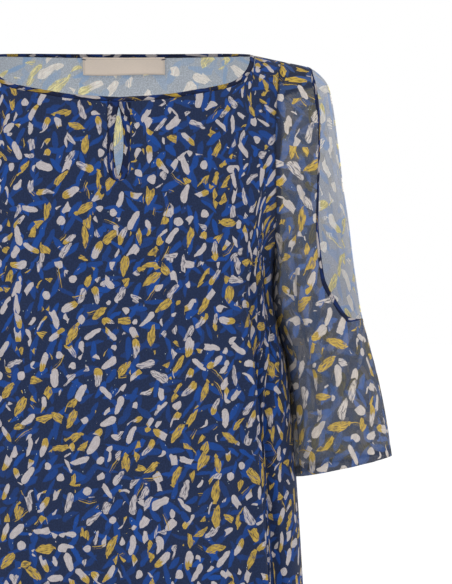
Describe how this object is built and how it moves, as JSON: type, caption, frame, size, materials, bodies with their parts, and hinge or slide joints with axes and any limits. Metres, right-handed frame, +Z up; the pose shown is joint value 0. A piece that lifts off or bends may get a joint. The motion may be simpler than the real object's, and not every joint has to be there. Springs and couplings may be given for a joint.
{
  "type": "slit-sleeve blouse",
  "caption": "Boat-neck blouse in printed chiffon, filled out as worn, with a keyhole at the front neck and sleeves slit open from shoulder to elbow.",
  "frame": {"origin": "midway between the two shoulder tips, at the height of the shoulder seams, where the wearer's shoulders carry the blouse", "axes": "+X to the wearer's left, -Y to the front, +Z up"},
  "size_m": [0.5402, 0.2315, 0.6391],
  "materials": {
    "printed_chiffon": "matt, crinkled, printed in navy, blue, greige and ochre",
    "sheer_chiffon": "sheer, printed in navy, blue, greige and ochre",
    "self_trim": "matt, the same printed chiffon doubled",
    "label_tape": "smooth woven tape, blank"
  },
  "bodies": {
    "root": {"front": "printed_chiffon", "back": "printed_chiffon", "sleeve_front_left": "sheer_chiffon", "sleeve_front_right": "sheer_chiffon", "sleeve_back_left": "sheer_chiffon", "sleeve_back_right": "sheer_chiffon", "neck_binding": "self_trim", "keyhole_band": "self_trim", "slit_binding_front_left": "self_trim", "slit_binding_front_right": "self_trim", "slit_binding_back_left": "self_trim", "slit_binding_back_right": "self_trim", "label": "label_tape"}
  },
  "joints": []
}
